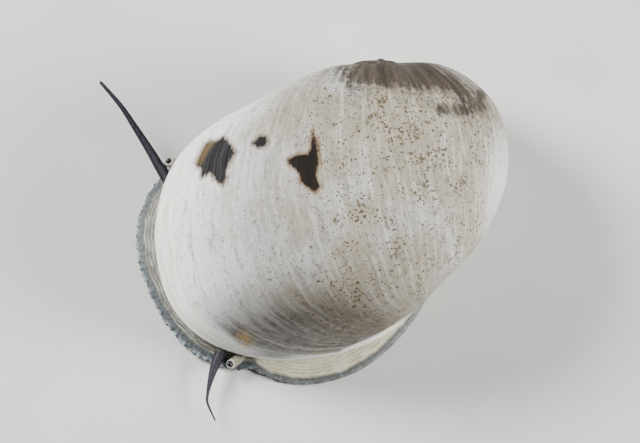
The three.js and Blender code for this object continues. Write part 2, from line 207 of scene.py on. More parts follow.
def growth(turns, rates):
    """The spiral's size, turns before the lip, as a share of its size at the lip."""
    late, early, settle = rates
    return np.exp(-(early * turns + (late - early) * settle * (1 - np.exp(-turns / settle))))


def swollen(points):
    """Points of the regular spiral, moved out or in by the swellings round it."""
    d = points[..., :2] - SWELL_CENTRE
    bearing = np.degrees(np.arctan2(d[..., 1], d[..., 0]))
    height = np.zeros(bearing.shape)
    for at, size in SWELLS.items():
        away = np.abs((bearing - at + 180) % 360 - 180)
        wave = (1 + np.cos(math.pi * away / (2 * SWELL_STEP))) / 4
        height += size * np.where(away < 2 * SWELL_STEP, wave, 0)
    stretch = 1 + height * np.hypot(d[..., 0], d[..., 1]) / SWELL_REACH**2
    moved = points.copy()
    moved[..., :2] = SWELL_CENTRE + d * stretch[..., None]
    return moved


def whorl_point(turns, angle):
    """Points of the whorl's surface, turns before the lip, at an angle round its section."""
    turns, angle = np.broadcast_arrays(np.asarray(turns, float), np.asarray(angle, float))
    size = growth(turns, RADIAL_GROWTH)
    radius = LIP_RADIUS * size
    half_width = WHORL_WIDTH / 2 * growth(turns, AXIAL_GROWTH)
    shoulder = -APEX_RISE * size
    across, along = np.cos(angle), np.sin(angle)
    taper = REAR_TAPER * smoothstep(turns, *TAPER_GROWS) * (1 - smoothstep(turns, *TAPER_FADES))
    fullness = taper + np.where(along > 0, 1.0, 2 / BASE_FULLNESS)
    height = shoulder - half_width + half_width * np.sign(along) * np.abs(along) ** fullness
    middle = PERIPHERY * radius
    inner = middle * np.where(along > 0, SPIRE_REACH, BASE_REACH)
    lean = LEAN * (shoulder - height) * np.maximum(across, 0) * size
    reach = middle + np.where(across > 0, radius - middle, inner) * across + lean
    reach = np.maximum(reach, AXIS_BORE)[..., None]
    turned = (turns * TURN)[..., None]
    outward = np.cos(turned) * forward + np.sin(turned) * upward
    return swollen(POLE + reach * outward + height[..., None] * axis)


def loft(rings):
    """Closed skin over rings of points, with a fan over each end ring."""
    rings = np.asarray(rings, float)
    rows, count, _ = rings.shape
    points = np.vstack([rings.reshape(-1, 3), rings[0].mean(0)[None], rings[-1].mean(0)[None]])
    i = np.arange(count)
    after = (i + 1) % count
    faces = []
    for row in range(rows - 1):
        a = row * count
        faces += np.column_stack([a + i, a + after, a + count + after, a + count + i]).tolist()
    last = (rows - 1) * count
    faces += np.column_stack([np.full(count, rows * count), after, i]).tolist()
    faces += np.column_stack([np.full(count, rows * count + 1), last + i, last + after]).tolist()
    return points, faces


def joined(name, pieces):
    """One mesh object, in millimetres, of several closed pieces."""
    points, faces, start = [], [], 0
    for piece_points, piece_faces in pieces:
        points.append(piece_points)
        faces += [[start + i for i in face] for face in piece_faces]
        start += len(piece_points)
    mesh = bpy.data.meshes.new(name)
    mesh.from_pydata(np.vstack(points).tolist(), [], faces)
    mesh.update()
    obj = bpy.data.objects.new(name, mesh)
    bpy.context.scene.collection.objects.link(obj)
    return obj


def apply_modifiers(obj):
    """The object's modifiers become its mesh."""
    graph = bpy.context.evaluated_depsgraph_get()
    mesh = bpy.data.meshes.new_from_object(obj.evaluated_get(graph))
    old = obj.data
    obj.modifiers.clear()
    obj.data = mesh
    bpy.data.meshes.remove(old)


def remeshed(obj, voxel, smoothing):
    """Fuses the object's closed pieces into one even skin and softens it."""
    fuse = obj.modifiers.new("fuse", "REMESH")
    fuse.mode = "VOXEL"
    fuse.voxel_size = voxel
    soften = obj.modifiers.new("soften", "SMOOTH")
    soften.factor = 0.5
    soften.iterations = smoothing
    apply_modifiers(obj)


def combine(obj, tool, operation):
    """Joins the closed tool to the object, or takes it away, and removes the tool."""
    change = obj.modifiers.new("change", "BOOLEAN")
    change.operation = operation
    change.object = tool
    change.solver = "MANIFOLD"
    apply_modifiers(obj)
    mesh = tool.data
    bpy.data.objects.remove(tool)
    bpy.data.meshes.remove(mesh)


def points_of(obj):
    flat = np.empty(3 * len(obj.data.vertices))
    obj.data.vertices.foreach_get("co", flat)
    return flat.reshape(-1, 3)


def move_points(obj, points):
    obj.data.vertices.foreach_set("co", points.astype(np.float32).ravel())
    obj.data.update()


def normals_of(obj):
    flat = np.empty(3 * len(obj.data.vertices))
    obj.data.vertex_normals.foreach_get("vector", flat)
    return flat.reshape(-1, 3)


def attribute(obj, name, values):
    layer = obj.data.attributes.new(name, "FLOAT", "POINT")
    layer.data.foreach_set("value", np.asarray(values, np.float32))


def finished(obj, material):
    """Turns a piece made in millimetres to metres and gives it its material and body."""
    obj.data.transform(Matrix.Scale(MM, 4))
    obj.data.shade_smooth()
    obj.data.materials.clear()
    obj.data.materials.append(material)
    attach(obj, "root")


def smoothstep(value, low, high):
    """Eases from 0 to 1 as value goes from low to high."""
    t = np.clip((value - low) / (high - low), 0, 1)
    return t * t * (3 - 2 * t)


def hull_piece(points):
    """The closed convex skin round some points."""
    mesh = bmesh.new()
    verts = [mesh.verts.new(p) for p in points]
    result = bmesh.ops.convex_hull(mesh, input=verts)
    spare = [e for e in result["geom_interior"] if isinstance(e, bmesh.types.BMVert)]
    bmesh.ops.delete(mesh, geom=spare, context="VERTS")
    mesh.verts.index_update()
    piece = (
        np.array([v.co[:] for v in mesh.verts]),
        [[v.index for v in f.verts] for f in mesh.faces],
    )
    mesh.free()
    return piece


def ball_piece(centre, radius, across=32):
    """A closed ball, or an egg where radius has three lengths."""
    turn = np.arange(across) / across * TURN
    tilt = np.linspace(-math.pi / 2, math.pi / 2, across // 2 + 1)[1:-1]
    rings = [
        np.column_stack([np.cos(t) * np.cos(turn), np.cos(t) * np.sin(turn), 0 * turn + np.sin(t)])
        for t in tilt
    ]
    return loft(np.asarray(rings) * np.asarray(radius) + np.asarray(centre))


def whorl_piece(oldest, newest, steps, around):
    """A closed length of the whorl's tube, between two counts of turns before the lip."""
    turns = np.linspace(oldest, newest, steps + 1)
    angles = np.arange(around) / around * TURN
    return loft(whorl_point(turns[:, None], angles[None, :]))


def base_piece():
    """The flattened underside between the lip and the earlier whorl."""
    turns = np.arange(BASE_PAST_LIP, BASE_OLDEST, 0.02)
    angles = np.radians(np.arange(BASE_ANGLE, 4, 4))
    points = whorl_point(turns[:, None], angles[None, :]).reshape(-1, 3)
    points -= BASE_SHRINK * (points - BASE_MIDDLE)
    return hull_piece(points)


def core_piece():
    """A thin pillar on the coiling axis, which closes the middle of the spiral."""
    top = POLE - APEX_SINK * axis
    turn = np.arange(24) / 24 * TURN
    ring = AXIS_CORE * (np.cos(turn)[:, None] * forward + np.sin(turn)[:, None] * upward)
    points, faces = loft([top + ring - CORE_LENGTH * axis, top + ring])
    return swollen(points), faces


def apex_piece():
    points, faces = ball_piece(POLE - APEX_SINK * axis, APEX_RADIUS)
    return swollen(points), faces


def lip_outline():
    """Where the lip stands at its level, from the base end round the front to the shoulder."""
    angles = np.radians(BASE_ANGLE + LIP_STEP * np.arange(LIP_STEPS))
    low, high = (np.full(len(angles), end) for end in LIP_SEARCH)
    for _ in range(30):
        middle = (low + high) / 2
        under = whorl_point(middle, angles)[:, 2] < LIP_LEVEL
        low = np.where(under, middle, low)
        high = np.where(under, high, middle)
    points = whorl_point(high, angles)
    points = points[np.abs(points[:, 2] - LIP_LEVEL) < 0.01][:, :2]
    return np.vstack([[points[0, 0], LIP_REAR], points, [points[-1, 0], LIP_REAR]])


def reach_to(outline, centre, angle):
    """The distance from a centre to an open outline, in one direction."""
    d = np.array([math.cos(angle), math.sin(angle)])
    a = outline[:-1] - centre
    e = np.diff(outline, axis=0)
    cross = d[0] * e[:, 1] - d[1] * e[:, 0]
    cross = np.where(np.abs(cross) < 1e-9, 1e-9, cross)
    t = (a[:, 0] * e[:, 1] - a[:, 1] * e[:, 0]) / cross
    s = (a[:, 0] * d[1] - a[:, 1] * d[0]) / cross
    hits = t[(t > 0) & (s >= 0) & (s <= 1)]
    return hits.max() if len(hits) else CLEAR


def mouth_piece(bottom, inset):
    """The hollow of the shell, or with an inset the mantle that fills it."""
    outline = lip_outline()
    angles = np.arange(160) / 160 * TURN
    side = np.array([reach_to(outline, MOUTH_CENTRE, a) for a in angles])
    back = (DECK_EDGE - MOUTH_CENTRE[1]) / np.maximum(np.sin(angles), 1e-3)
    levels = [(bottom, 0.0)]
    levels += [(LIP_LEVEL + share * MOUTH_DEPTH, taper) for share, taper in MOUTH_DOME]
    rings = []
    for level, (z, taper) in enumerate(levels):
        a = side - WALL - inset - taper
        b = back - inset - 0.5 * taper
        mixed = -MOUTH_ROUNDING * np.logaddexp(-a / MOUTH_ROUNDING, -b / MOUTH_ROUNDING)
        x = MOUTH_CENTRE[0] + mixed * np.cos(angles)
        y = MOUTH_CENTRE[1] + mixed * np.sin(angles)
        if level < 2:
            for tooth in DECK_TEETH:
                rise = TOOTH_SIZE * np.exp(-(((x - tooth) / TOOTH_SIZE) ** 2))
                y -= np.where(np.sin(angles) > 0.5, rise, 0)
        rings.append(np.column_stack([x, y, 0 * x + z - (inset if level > 1 else 0)]))
    return loft(rings)


def build_shell():
    pieces = [base_piece(), core_piece(), apex_piece()]
    for i in range(4):
        newest = OLDEST - HALF_TURN * (i + 1)
        steps = FINE_STEPS if newest < COARSE_FROM else COARSE_STEPS
        pieces.append(whorl_piece(newest + HALF_TURN, newest, steps, 2 * steps))
    obj = joined("shell_skin", pieces)
    remeshed(obj, SHELL_VOXEL, 2)
    square = CLEAR * np.array(SQUARE)
    below = [np.column_stack([square, np.full(4, z)]) for z in (-CLEAR, LIP_LEVEL)]
    combine(obj, joined("below", [loft(below)]), "DIFFERENCE")
    combine(obj, joined("hollow", [mouth_piece(LIP_LEVEL - 1, 0)]), "DIFFERENCE")
    remeshed(obj, SHELL_VOXEL, 5)
    mark_shell(obj)
    return obj


# Dark patches on the shell: outlines in millimetres, as seen from the photograph's side.
LEFT_PATCH = [
    (-10.8, 4.55), (-10.05, 6.1), (-9.3, 6.3), (-8.7, 6.6), (-8.0, 6.0), (-7.8, 5.4),
    (-8.45, 4.1), (-8.4, 3.5), (-8.7, 2.9), (-9.35, 3.4), (-9.65, 3.95), (-10.4, 3.5),
    (-10.4, 4.2),
]
LEFT_PATCH_TAN = [(-10.6, 4.8), (-10.2, 5.6), (-9.7, 6.2)]
SPOT_PATCH = [(-6.45, 6.1), (-5.9, 6.6), (-5.4, 6.65), (-5.2, 6.2), (-5.5, 5.8), (-6.1, 5.85)]
RIGHT_PATCH = [
    (-3.8, 4.8), (-3.4, 5.15), (-2.3, 5.3), (-2.05, 5.7), (-1.95, 7.0), (-1.6, 6.5),
    (-1.4, 4.7), (-1.65, 3.6), (-1.3, 2.8), (-1.75, 2.4), (-2.75, 3.1), (-2.9, 3.8),
    (-3.6, 4.4),
]
# Worn grey-brown ground round the spire, in the same view.
SPIRE_BAND = [
    (0.79, 11.31), (2.62, 11.61), (4.76, 11.46), (7.05, 11.31), (8.73, 10.69), (9.95, 9.78),
    (10.86, 8.86),
]
SPIRE_ARC = [(7.9, 8.7), (9.6, 8.6), (10.6, 8.9), (10.9, 9.8)]
# Where specks crowd together, in the same view: centres and radii.
CLUSTERS = [
    (3.34, 9.82, 0.75, 0.6), (6.24, 9.7, 0.6, 0.6), (4.91, 8.63, 0.7, 0.45),
    (4.15, 6.73, 0.9, 0.75), (5.06, 5.12, 0.5, 0.5), (6.51, 3.37, 0.75, 1.3),
    (1.7, 0.85, 0.45, 1.4), (9.49, 8.86, 1.9, 0.6), (0.2, 5.0, 0.5, 1.6), (8.3, 3.0, 0.5, 0.9),
    (7.3, 0.2, 0.6, 1.1), (1.6, -5.6, 0.6, 0.8),
]
# A pale line along the shell's raised edge above the foot, in the same view: a painted highlight.
EDGE_HIGHLIGHT_LINE = [(0.5, -9.75), (2.4, -8.95), (3.6, -8.35), (4.8, -7.6), (5.8, -6.9)]
# Stains, tints, a painted highlight and painted shade, in oval areas of the same view: strength,
# centre and radii.
HAZE_AREAS = [(0.5, (-5.0, 7.0), (0.7, 0.9)), (0.8, (-5.95, 1.45), (0.6, 0.65))]
CROWDED_AREAS = [
    (0.55, (7.0, 7.5), (9, 7)),
    (0.8, (2.5, -7.2), (6.5, 4.0)),
    (-0.8, (12.8, 2.0), (2.6, 8)),
    (0.45, (5.5, 9.8), (5.5, 1.8)),
    (0.35, (8.6, 1.8), (3.0, 3.0)),
]
# A painted highlight along the shell's right edge.
RIGHT_EDGE_HIGHLIGHT_AREAS = [(1.0, (13.2, 1.5), (3.6, 9.0))]
# Grey of the lower side near the lip: partly a real stain, partly painted shade.
GREY_STAIN_AND_SHADE_AREAS = [(1.6, (-4.2, -10.4), (11.0, 8.0)), (0.8, (2.5, -8.0), (7.0, 5.0))]
# Where the grey, partly painted shade, reaches the lip's edge in place of the pale lip.
GREY_LIP_AREAS = [(1.0, (-5.0, -10.3), (4.0, 1.9))]
AMBER_AREAS = [
    (1.0, (-7.1, -8.85), (1.1, 1.2)),
    (0.7, (-11.2, -6.1), (0.9, 0.4)),
    (0.4, (-1.2, -9.9), (1.3, 0.5)),
]
CLUSTER_SPREAD = 1.5


def distance_to(outline, x, y):
    """Signed distance to a closed outline, negative inside."""
    corners = np.asarray(outline)
    nearest = np.full(len(x), 1e9)
    inside = np.zeros(len(x), bool)
    for a, b in zip(corners, np.roll(corners, -1, axis=0)):
        e = b - a
        t = np.clip(((x - a[0]) * e[0] + (y - a[1]) * e[1]) / (e @ e), 0, 1)
        nearest = np.minimum(nearest, np.hypot(x - a[0] - t * e[0], y - a[1] - t * e[1]))
        spans = (a[1] > y) != (b[1] > y)
        rise = e[1] if e[1] else 1e-9
        inside ^= spans & (x < a[0] + (y - a[1]) * e[0] / rise)
    return np.where(inside, -nearest, nearest)


def distance_along(line, x, y):
    """Distance to an open line."""
    corners = np.asarray(line)
    nearest = np.full(len(x), 1e9)
    for a, b in zip(corners[:-1], corners[1:]):
        e = b - a
        t = np.clip(((x - a[0]) * e[0] + (y - a[1]) * e[1]) / (e @ e), 0, 1)
        nearest = np.minimum(nearest, np.hypot(x - a[0] - t * e[0], y - a[1] - t * e[1]))
    return nearest


def blob(x, y, centre, radii):
    """1 at the centre of an oval area, falling to 0 at its edge."""
    far = np.hypot((x - centre[0]) / radii[0], (y - centre[1]) / radii[1])
    return smoothstep(1 - far, 0, 1)


def blobs(x, y, areas):
    """Several oval areas, each of its own strength, added up."""
    return sum(strength * blob(x, y, centre, radii) for strength, centre, radii in areas)


def mark_shell(obj):
    """Where each mark of the shell lies, as values on its points."""
    points = points_of(obj)
    normals = normals_of(obj)
    regular = points - (swollen(points) - points)
    p = regular - POLE
    turn = np.arctan2(p @ upward, p @ forward) / TURN
    age = np.where(turn < -0.2, turn + 1, turn)
    reach = np.hypot(p @ upward, p @ forward)
    attribute(obj, "age", age)
    attribute(obj, "along", p @ axis)
    attribute(obj, "reach", reach)
    x, y = points @ sight_right, points @ sight_up
    top = points[:, 2] > LIP_LEVEL + 0.5
    for name, outline in (("left", LEFT_PATCH), ("spot", SPOT_PATCH), ("right", RIGHT_PATCH)):
        attribute(obj, f"patch_{name}", np.where(top, distance_to(outline, x, y), 9))
    attribute(obj, "haze", blobs(x, y, HAZE_AREAS))
    tan = smoothstep(0.55 - distance_along(LEFT_PATCH_TAN, x, y), 0, 0.5)
    attribute(obj, "tan", np.where(top, 0.9 * tan, 0))
    spire = smoothstep(6.0 - reach, 0, 3) * smoothstep((p @ axis) + 4, 0, 2)
    half = 1.9 - 0.65 * smoothstep(x, 6.5, 10.0)
    off = distance_along(SPIRE_BAND, x, y)
    band = 1.15 * smoothstep(half - off, 0, 1.8) + 0.2 * smoothstep(half + 1.3 - off, 0, 1.3)
    band *= smoothstep(x, -2.5, 3.0)
    arc = 0.85 * smoothstep(1.0 - distance_along(SPIRE_ARC, x, y), 0, 0.9)
    facing = normals @ sight_back
    hidden = smoothstep(0.15 - facing, 0, 0.5)
    band *= 1 - hidden * smoothstep(reach, 4.5, 8.5)
    arc *= 1 - hidden
    attribute(obj, "eroded", np.max([spire, band, arc], axis=0))
    crowd = 0.15 + 0.5 * smoothstep(x, -6, 1) + blobs(x, y, CROWDED_AREAS)
    attribute(obj, "crowd", np.clip(crowd, 0, 1.3))
    spread = CLUSTER_SPREAD
    clump = [blob(x, y, (cx, cy), (spread * rx, spread * ry)) for cx, cy, rx, ry in CLUSTERS]
    # A painted highlight along the right edge.
    attribute(obj, "pale", blobs(x, y, RIGHT_EDGE_HIGHLIGHT_AREAS))
    attribute(obj, "clump", np.where(top, 0.85 * np.max(clump, axis=0), 0))
    # Grey of the lower side: a real stain and painted shade.
    grey = blobs(x, y, GREY_STAIN_AND_SHADE_AREAS)
    grey_lip = blobs(x, y, GREY_LIP_AREAS)
    past_lip = np.maximum(smoothstep(age, LIP_BAND, LIP_BAND + 0.012), grey_lip)
    attribute(obj, "grey", np.clip(grey, 0, 1) * past_lip)
    attribute(obj, "amber", np.clip(blobs(x, y, AMBER_AREAS), 0, 1))
    low = smoothstep(LIP_LEVEL + 0.9 - points[:, 2], 0, 0.5)
    begun = smoothstep(age, -0.18, -0.06)
    attribute(obj, "fresh", begun * smoothstep(0.13 - age, 0, 0.115))
    lip = begun * smoothstep(LIP_BAND + 0.006 - age, 0, 0.012) * (1 - grey_lip)
    outer = normals[:, 2] > -0.6
    # A painted highlight along the raised edge above the foot, faded where that edge turns from
    # the view.
    edge_highlight = np.where(outer, smoothstep(0.34 - distance_along(EDGE_HIGHLIGHT_LINE, x, y), 0, 0.2), 0)
    edge_highlight *= smoothstep(facing, -0.45, -0.05) * smoothstep(3.4 - points[:, 1], 0, 3.4)
    edge_highlight *= smoothstep(points[:, 1], -6.0, -2.5) * smoothstep(5.4 - points[:, 2], 0, 1.8)
    attribute(obj, "rim", np.max([low, lip, edge_highlight], axis=0))
    attribute(obj, "under", smoothstep(-normals[:, 2], 0.6, 0.9))


class Graph:
    """Short names for building one material's nodes."""

    def __init__(self, name):
        self.material = bpy.data.materials.new(name)
        self.material.use_nodes = True
        self.tree = self.material.node_tree
        self.shader = self.tree.nodes["Principled BSDF"]

    def node(self, kind, inputs=(), output=0, **settings):
        made = self.tree.nodes.new(kind)
        for key, value in settings.items():
            setattr(made, key, value)
        for key, value in dict(inputs).items():
            self.put(made.inputs[key], value)
        return made.outputs[output]

    def put(self, socket, value):
        if isinstance(value, bpy.types.NodeSocket):
            self.tree.links.new(value, socket)
        else:
            socket.default_value = value

    def set(self, **values):
        for key, value in values.items():
            self.put(self.shader.inputs[key.replace("_", " ")], value)

    def math(self, operation, a, b=0.0, c=0.0):
        return self.node("ShaderNodeMath", {0: a, 1: b, 2: c}, operation=operation)

    def value(self, name):
        return self.node("ShaderNodeAttribute", output="Fac", attribute_name=name)

    def place(self):
        """Object coordinates, in millimetres."""
        where = self.node("ShaderNodeTexCoord", output="Object")
        return self.node("ShaderNodeVectorMath", {0: where, "Scale": 1 / MM}, operation="SCALE")

    def vector(self, x, y, z=0.0):
        return self.node("ShaderNodeCombineXYZ", {0: x, 1: y, 2: z})

    def noise(self, vector, scale, detail=2.0, rough=0.5):
        inputs = {"Vector": vector, "Scale": scale, "Detail": detail, "Roughness": rough}
        return self.node("ShaderNodeTexNoise", inputs)

    def ramp(self, value, low, high, start=0.0, end=1.0):
        """Eases from start to end as value goes from low to high."""
        inputs = {0: value, 1: low, 2: high, 3: start, 4: end}
        return self.node("ShaderNodeMapRange", inputs, interpolation_type="SMOOTHSTEP")

    def mix(self, share, a, b):
        def paint(color):
            return color if isinstance(color, bpy.types.NodeSocket) else (*color, 1)

        inputs = {0: share, 6: paint(a), 7: paint(b)}
        return self.node("ShaderNodeMix", inputs, output=2, data_type="RGBA")

    def bump(self, height, distance, strength=1.0, normal=None):
        inputs = {"Height": height, "Distance": distance * MM, "Strength": strength}
        if normal:
            inputs["Normal"] = normal
        return self.node("ShaderNodeBump", inputs)


def porcelain_material():
    g = Graph("porcelain")
    place = g.place()
    age, along = g.value("age"), g.value("along")
    wander = g.noise(place, 0.5, 2)
    line_age = g.math("MULTIPLY_ADD", wander, 0.006, age)

    def lines(per_turn, per_mm, detail):
        run = g.math("MULTIPLY", line_age, per_turn)
        return g.noise(g.vector(run, g.math("MULTIPLY", along, per_mm)), 1, detail)

    broad, fine, hair = lines(60, 0.1, 3), lines(230, 0.28, 3), lines(620, 0.5, 3)
    cloud = g.noise(place, 0.28, 3)
    mottle = g.noise(place, 1.7, 4, 0.65)
    open_side = g.ramp(g.value("reach"), 2.5, 9.0, 0.3, 1.0)

    def worked(color, share, paint):
        return g.mix(g.math("MULTIPLY", share, open_side), color, paint)

    # Ground colour and growth lines.
    color = g.mix(g.ramp(broad, 0.35, 0.68), (0.26, 0.254, 0.238), (0.34, 0.336, 0.325))
    color = g.mix(g.ramp(mottle, 0.35, 0.65, 0, 0.5), color, (0.43, 0.426, 0.415))
    warm = g.math("MULTIPLY_ADD", g.value("crowd"), 0.2, cloud)
    color = g.mix(g.ramp(warm, 0.42, 0.70, 0, 0.85), color, (0.24, 0.21, 0.148))
    # Pale new growth at the lip, and the painted highlight along the right edge.
    pale = g.math("MAXIMUM", g.value("fresh"), g.math("MULTIPLY", g.value("pale"), 0.6))
    color = g.mix(g.math("MULTIPLY", pale, 0.9), color, (0.80, 0.81, 0.82))
    color = worked(color, g.ramp(fine, 0.50, 0.66, 0, 0.3), (0.58, 0.58, 0.57))
    color = worked(color, g.ramp(fine, 0.47, 0.3, 0, 0.45), (0.20, 0.19, 0.17))
    color = worked(color, g.ramp(hair, 0.46, 0.3, 0, 0.38), (0.20, 0.19, 0.17))
    color = worked(color, g.ramp(hair, 0.54, 0.7, 0, 0.25), (0.60, 0.60, 0.59))

    # Grey at the lip, partly a real stain and partly painted shade on the lower side, then the
    # worn ground of the spire.
    streak = lines(170, 0.35, 3)
    grey = g.math("MULTIPLY", g.value("grey"), g.ramp(streak, 0.3, 0.6, 0.68, 1.0))
    grey = g.math("MULTIPLY", grey, g.ramp(mottle, 0.32, 0.6, 0.85, 1.0))
    color = g.mix(g.math("MULTIPLY", grey, 0.97), color, (0.060, 0.053, 0.045))

    crumb = g.noise(place, 2.2, 3, 0.6)
    grit = g.noise(place, 6.0, 2, 0.6)
    wear = g.math("ADD", g.value("eroded"), g.math("MULTIPLY_ADD", crumb, 1.5, -1.5))
    worn_lines = lines(130, 0.3, 3)
    wear = g.math("MULTIPLY_ADD", worn_lines, 1.5, wear)
    grime = g.math("MULTIPLY_ADD", worn_lines, 0.9, g.math("MULTIPLY", grit, 0.5))
    worn = g.mix(g.ramp(grime, 0.5, 0.9), (0.060, 0.045, 0.034), (0.014, 0.0105, 0.008))
    color = g.mix(g.ramp(wear, 0.0, 1.0, 0, 0.96), color, worn)

    # Specks, in drifts that follow the growth lines.
    clusters = lines(34, 0.5, 2)
    gather = g.math("MULTIPLY", g.value("crowd"), g.ramp(clusters, 0.40, 0.62))
    soft = g.noise(place, 0.9, 2)
    gather = g.math("MULTIPLY", gather, g.ramp(soft, 0.36, 0.58, 0.3, 1.0))
    gather = g.math("MAXIMUM", gather, g.value("clump"))
    jitter = g.node("ShaderNodeTexNoise", {"Vector": place, "Scale": 3.0}, output="Color")
    jitter = g.node("ShaderNodeVectorMath", {0: jitter, "Scale": 0.5}, operation="SCALE")
    stirred = g.node("ShaderNodeVectorMath", {0: place, 1: jitter}, operation="ADD")

    def specks(scale, size, least):
        """Small round marks, the larger the more they gather."""
        cells = {"Vector": stirred, "Scale": scale}
        far = g.node("ShaderNodeTexVoronoi", cells, output="Distance")
        luck = g.node("ShaderNodeSeparateColor", {0: far.node.outputs["Color"]})
        alone = g.ramp(g.value("crowd"), 0, 1, least, 1.4 * least)
        spread = g.math("MULTIPLY_ADD", gather, size, alone)
        rim = g.math("MULTIPLY_ADD", luck, spread, -0.035)
        return g.ramp(g.math("SUBTRACT", far, rim), 0.09, -0.13)

    speck = g.math("MAXIMUM", specks(4.6, 0.38, 0.33), specks(2.5, 0.38, 0.10))
    speck = g.math("MULTIPLY", speck, g.ramp(wear, 0.8, 0.1, 0.25, 0.94))
    tint = g.mix(g.ramp(crumb, 0.35, 0.65), (0.075, 0.050, 0.019), (0.046, 0.033, 0.016))
    color = g.mix(speck, color, tint)

    # Stains, and the pale rim with a painted highlight along the raised edge above the foot.
    color = g.mix(g.math("MULTIPLY", g.value("haze"), 0.8), color, (0.28, 0.19, 0.12))
    stain = g.math("MULTIPLY", g.value("amber"), g.ramp(crumb, 0.36, 0.52))
    ochre = g.mix(g.ramp(grit, 0.35, 0.65), (0.42, 0.29, 0.08), (0.20, 0.12, 0.02))
    color = g.mix(stain, color, ochre)
    ridge = g.math("MULTIPLY", g.value("rim"), g.ramp(crumb, 0.25, 0.5, 0.7, 1.0))
    cream = g.mix(g.ramp(fine, 0.35, 0.65), (0.84, 0.83, 0.80), (0.60, 0.58, 0.52))
    color = g.mix(ridge, color, cream)

    # Dark patches, combed along the growth lines.
    ragged = g.math("MULTIPLY_ADD", g.noise(place, 4, 3, 0.6), 0.3, -0.15)
    comb = g.math("MULTIPLY_ADD", lines(260, 0.1, 2), 0.4, -0.2)
    edge = g.math("ADD", ragged, comb)
    inks = {
        "left": ((0.004, 0.004, 0.006), (0.026, 0.025, 0.026), (0.10, 0.06, 0.018)),
        "spot": ((0.003, 0.003, 0.003), (0.009, 0.008, 0.006), (0.09, 0.06, 0.03)),
        "right": ((0.002, 0.0015, 0.0015), (0.011, 0.0055, 0.002), (0.12, 0.06, 0.014)),
    }
    ink_lines = g.math("MULTIPLY_ADD", hair, 0.5, g.math("MULTIPLY", lines(420, 0.12, 2), 0.5))
    inked = None
    for name, (deep, pale, halo) in inks.items():
        off = g.math("ADD", g.value(f"patch_{name}"), edge)
        color = g.mix(g.ramp(off, 0.32, 0.0, 0, 0.8), color, halo)
        ink = g.mix(g.ramp(ink_lines, 0.42, 0.62), deep, pale)
        dark = g.ramp(off, 0.07, -0.12)
        color = g.mix(dark, color, ink)
        inked = dark if inked is None else g.math("MAXIMUM", inked, dark)
    tan = g.math("MULTIPLY", g.value("tan"), g.ramp(ink_lines, 0.35, 0.6, 0.4, 1.0))
    color = g.mix(tan, color, (0.095, 0.064, 0.021))

    color = g.mix(g.value("under"), color, (0.80, 0.77, 0.70))
    g.set(Base_Color=color)

    relief = g.math("MULTIPLY_ADD", fine, 0.45, g.math("MULTIPLY", broad, 0.6))
    relief = g.math("MULTIPLY", relief, g.math("SUBTRACT", 1.0, g.value("under")))
    normal = g.bump(relief, 0.045, 0.5)
    pits = g.math("MULTIPLY", g.math("ADD", crumb, grit), g.value("eroded"))
    g.set(Normal=g.bump(pits, 0.12, 0.6, normal))
    rough = g.ramp(broad, 0.3, 0.7, 0.60, 0.50)
    rough = g.math("MULTIPLY_ADD", g.math("MAXIMUM", g.value("eroded"), inked), 0.3, rough)
    g.set(Roughness=rough)
    g.shader.inputs["Specular IOR Level"].default_value = 0.22
    g.shader.inputs["Subsurface Weight"].default_value = 0.06
    g.shader.inputs["Subsurface Radius"].default_value = (1.0, 0.8, 0.6)
    g.shader.inputs["Subsurface Scale"].default_value = 0.4 * MM
    return g.material


def oval(angles, share, sizes, front_power, rear_power):
    """Points of a squared oval with four half lengths, drawn in to a share of it."""
    c, s = np.cos(angles), np.sin(angles)
    power = np.where(s < 0, front_power, rear_power)
    cx = np.sign(c) * np.abs(c) ** (2 / power)
    sy = np.sign(s) * np.abs(s) ** (2 / power)
    x = sizes["x"] + share * cx * np.where(c < 0, sizes["right"], sizes["left"])
    y = sizes["y"] + share * sy * np.where(s < 0, sizes["front"], sizes["rear"])
    return x, y


def cushion(around, outline, levels):
    """A closed low form: rings of an outline, each with its share of it and its height."""
    angles = np.arange(around) / around * TURN
    rings = []
    for share, height in levels:
        x, y = outline(angles, share)
        rings.append(np.column_stack([x, y, height(x, y) + 0 * x]))
    return loft(rings)


def foot_piece():
    """The foot: a flat sole with a thin rim, thicker under the shell than in front."""

    def top(full):
        def height(x, y):
            limit = FOOT_FRONT_TOP + (FOOT_TOP - FOOT_FRONT_TOP) * smoothstep(y, -3, 2)
            return np.minimum(FOOT_RIM + (limit - FOOT_RIM) * full, limit)

        return height

    return cushion(
        360,
        lambda a, s: oval(a, s, FOOT, *FOOT_POWERS),
        [
            (0.97, lambda x, y: 0),
            (0.995, lambda x, y: 0.1),
            (1, lambda x, y: 0.25),
            (0.985, lambda x, y: 0.42),
            (0.93, top(0.15)),
            (0.82, top(0.5)),
            (0.68, top(0.85)),
            (0.5, top(1)),
            (0.1, top(1)),
        ],
    )


def frilled(angles, share):
    """The head's outline, its rim gathered into small uneven scallops."""
    x, y = oval(angles, share, HEAD, *HEAD_POWERS)
    run = angles * HEAD_MEAN
    wave = np.sin(TURN * run / SCALLOP + 1.3 * np.sin(run / 2.1) + 0.9 * np.sin(run / 0.9))
    slow = 0.5 * np.sin(run / 1.4 + 1) + 0.5 * np.sin(run / 3.3)
    rim = smoothstep(share, 0.88, 0.98)
    swell = 1 + rim * (FRILL * (np.abs(wave) - 0.6) + 0.12 * slow) / HEAD_MEAN
    return HEAD["x"] + (x - HEAD["x"]) * swell, HEAD["y"] + (y - HEAD["y"]) * swell


def head_piece():
    """The snout pad, raised at its edge so that its rim hangs just off the floor."""

    def top(full):
        return lambda x, y: HEAD_RIM + (HEAD_TOP - HEAD_RIM) * full

    return cushion(
        720,
        frilled,
        [
            (0.9, lambda x, y: 0.32),
            (0.975, lambda x, y: 0.2),
            (1, lambda x, y: 0.36),
            (0.985, lambda x, y: HEAD_RIM - 0.04),
            (0.93, top(0.12)),
            (0.84, top(0.3)),
            (0.72, top(0.62)),
            (0.6, top(0.92)),
            (0.45, top(1)),
            (0.2, top(1)),
        ],
    )


